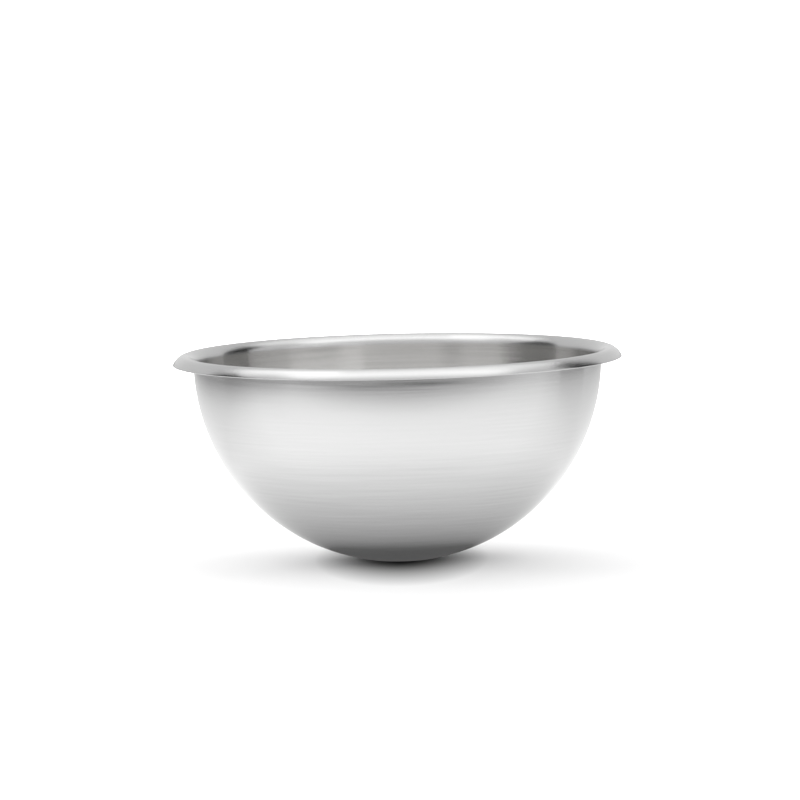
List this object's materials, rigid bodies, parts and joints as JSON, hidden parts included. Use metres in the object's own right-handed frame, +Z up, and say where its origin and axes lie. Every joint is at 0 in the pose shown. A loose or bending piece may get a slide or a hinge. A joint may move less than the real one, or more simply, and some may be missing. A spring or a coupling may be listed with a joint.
{
  "type": "mixing bowl",
  "caption": "Hemispherical brushed stainless steel mixing bowl with a small standing flat and an open rim turned outwards and down as a hand hold.",
  "frame": {"origin": "centre of the underside of the standing flat, at the bowl's lowest point", "axes": "+Z up along the bowl's axis, out of its mouth; the bowl is round, so X and Y are any two horizontal directions"},
  "size_m": [0.2666, 0.2666, 0.1238],
  "materials": {
    "steel": "satin, brushed in fine lines round the axis inside and outside"
  },
  "bodies": {
    "root": {"bowl": "steel"}
  },
  "joints": []
}
